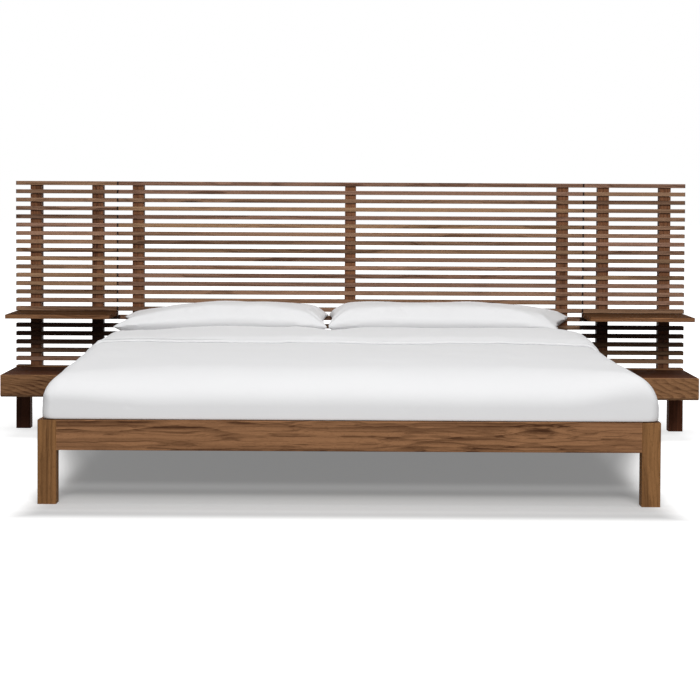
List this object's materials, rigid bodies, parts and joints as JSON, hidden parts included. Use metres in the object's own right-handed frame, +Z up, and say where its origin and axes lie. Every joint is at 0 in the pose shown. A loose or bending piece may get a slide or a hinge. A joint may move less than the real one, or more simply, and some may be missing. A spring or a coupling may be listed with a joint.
{
  "type": "platform bed with slatted headboard wall",
  "caption": "King platform bed before a wall-wide slatted headboard, with slotted shelves, hung nightstands with sliding drawers, mattress, turned-back duvet and pillows.",
  "frame": {"origin": "on the floor under the middle of the whole object's outline", "axes": "+Z up, foot of the bed towards -Y, headboard towards +Y, +X to the right as seen from the foot"},
  "size_m": [2.907, 2.21, 1.078],
  "materials": {
    "walnut_frame": "satin oiled walnut",
    "walnut_slats": "satin oiled walnut",
    "walnut_board": "satin oiled walnut",
    "birch": "plain sanded",
    "steel": "plain",
    "mattress_cloth": "matt",
    "duvet_cloth": "matt",
    "pillow_cloth": "matt"
  },
  "bodies": {
    "bed": {"post_front_left": "walnut_frame", "post_front_right": "walnut_frame", "post_back_left": "walnut_frame", "post_back_right": "walnut_frame", "rail_foot": "walnut_frame", "rail_head": "walnut_frame", "rail_left": "walnut_frame", "rail_right": "walnut_frame", "ledger_left": "birch", "ledger_right": "birch", "slat_deck": "birch", "support_leg": "birch", "slat_panel_centre": "walnut_slats", "slat_panel_left": "walnut_slats", "slat_panel_right": "walnut_slats", "stile_centre_left": "walnut_slats", "stile_centre_right": "walnut_slats", "stile_outer_left": "walnut_slats", "stile_outer_right": "walnut_slats", "bottom_rail_centre": "walnut_slats", "bottom_rail_left": "walnut_slats", "bottom_rail_right": "walnut_slats", "panel_leg_inner_left": "walnut_frame", "panel_leg_inner_right": "walnut_frame", "panel_leg_outer_left": "walnut_frame", "panel_leg_outer_right": "walnut_frame", "joining_plate_left": "steel", "joining_strap_left": "steel", "shelf_left": "walnut_board", "joining_plate_right": "steel", "joining_strap_right": "steel", "shelf_right": "walnut_board", "casing_top_left": "walnut_board", "casing_bottom_left": "walnut_board", "casing_inner_left": "walnut_board", "casing_outer_left": "walnut_board", "runner_inner_left": "birch", "runner_outer_left": "birch", "casing_top_right": "walnut_board", "casing_bottom_right": "walnut_board", "casing_inner_right": "walnut_board", "casing_outer_right": "walnut_board", "runner_inner_right": "birch", "runner_outer_right": "birch", "mattress": "mattress_cloth", "duvet": "duvet_cloth", "pillow_left": "pillow_cloth", "pillow_right": "pillow_cloth"},
    "left_drawer": {"drawer_front_left": "walnut_board", "drawer_wall_a_left": "birch", "drawer_wall_b_left": "birch", "drawer_back_left": "birch", "drawer_bottom_left": "birch"},
    "right_drawer": {"drawer_front_right": "walnut_board", "drawer_wall_a_right": "birch", "drawer_wall_b_right": "birch", "drawer_back_right": "birch", "drawer_bottom_right": "birch"}
  },
  "joints": [
    {"name": "left_drawer_slide", "type": "slide", "parent": "bed", "child": "left_drawer", "axis": [0, -1, 0], "range_m": [0, 0.26]},
    {"name": "right_drawer_slide", "type": "slide", "parent": "bed", "child": "right_drawer", "axis": [0, -1, 0], "range_m": [0, 0.26]}
  ]
}
